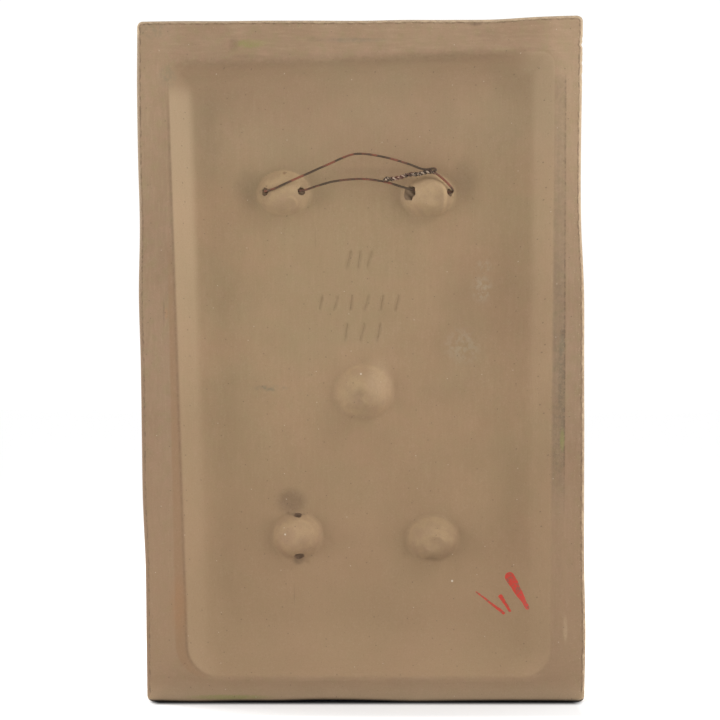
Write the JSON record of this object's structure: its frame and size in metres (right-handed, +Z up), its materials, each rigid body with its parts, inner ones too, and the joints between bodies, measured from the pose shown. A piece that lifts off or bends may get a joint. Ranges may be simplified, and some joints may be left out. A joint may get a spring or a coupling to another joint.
{
  "type": "decorative wall plaque",
  "caption": "Upright fired-clay wall plaque with a rimmed hollow back, pierced clay bosses and a twisted wire loop to hang it on a hook.",
  "frame": {"origin": "on the wall plane, where the hook under the crest of the hanging wire enters the wall, midway across the plaque", "axes": "+Z up, +Y out of the wall towards the decorated front, +X to the right as the hollow back is seen"},
  "size_m": [0.2251, 0.024, 0.3438],
  "materials": {
    "fired_clay": "matte",
    "iron_wire": "satin"
  },
  "bodies": {
    "root": {"plaque": "fired_clay", "hanging_wire": "iron_wire"}
  },
  "joints": []
}
